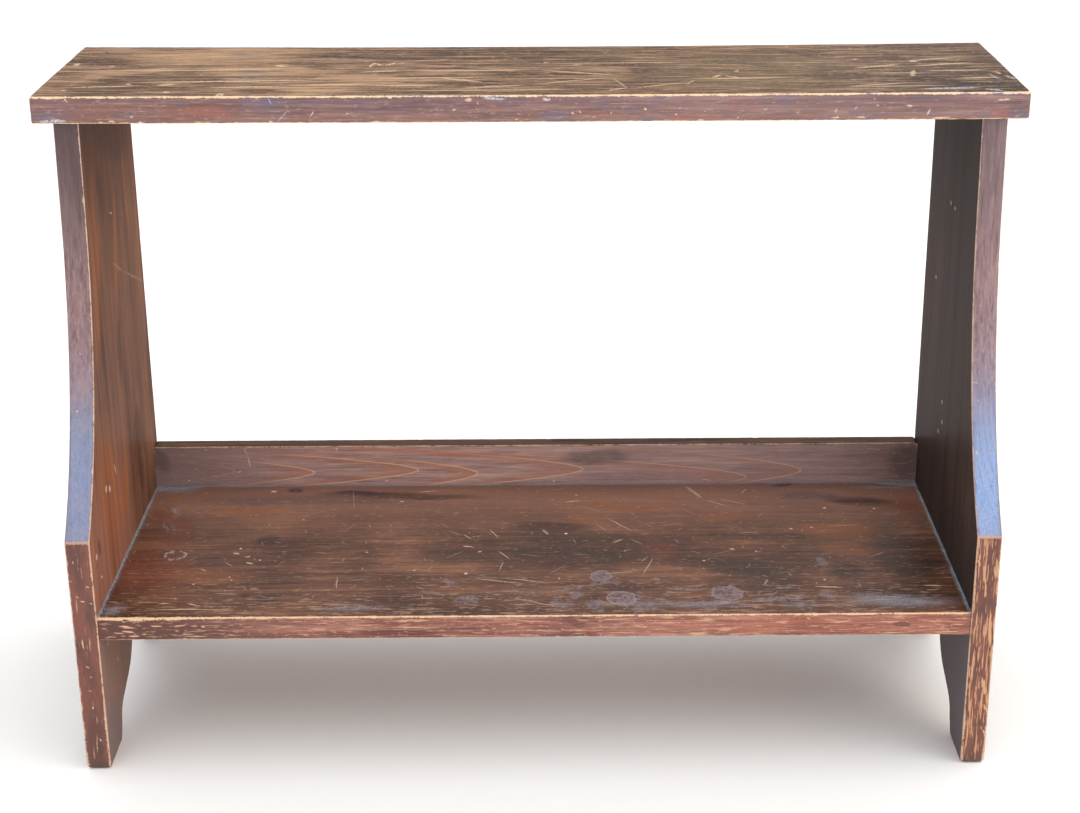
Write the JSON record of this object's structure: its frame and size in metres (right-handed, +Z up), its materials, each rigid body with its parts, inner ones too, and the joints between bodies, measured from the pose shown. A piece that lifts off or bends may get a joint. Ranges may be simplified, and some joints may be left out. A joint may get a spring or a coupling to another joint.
{
  "type": "bucket bench",
  "caption": "Two-tier bucket bench with a narrow top board, a deeper lower shelf with a back ledge, hollow-curved side panels and arched feet.",
  "frame": {"origin": "on the floor, under the middle of the bench's overall length and depth", "axes": "+X along the bench to the right as seen from the front, +Y from the front to the back, +Z up"},
  "size_m": [1.016, 0.3726, 0.717],
  "materials": {
    "top_wood": "worn dark varnish over brown stained pine",
    "side_wood": "worn glossy red-brown stain on pine",
    "shelf_wood": "scratched glossy dark brown stain on pine",
    "ledge_wood": "satin red-brown stain on pine",
    "nail_steel": "bright drawn wire, dulled",
    "wood_filler": "stained putty"
  },
  "bodies": {
    "root": {"top_board": "top_wood", "left_side_panel": "side_wood", "right_side_panel": "side_wood", "lower_shelf": "shelf_wood", "back_ledge": "ledge_wood", "top_nails_left": "nail_steel", "top_nails_right": "nail_steel", "shelf_nails_left": "nail_steel", "shelf_nails_right": "nail_steel", "ledge_end_nails_left": "nail_steel", "ledge_end_nails_right": "nail_steel", "ledge_foot_nails": "nail_steel", "top_nail_filler_left": "wood_filler", "top_nail_filler_right": "wood_filler", "side_nail_filler_left": "wood_filler", "side_nail_filler_right": "wood_filler"}
  },
  "joints": []
}
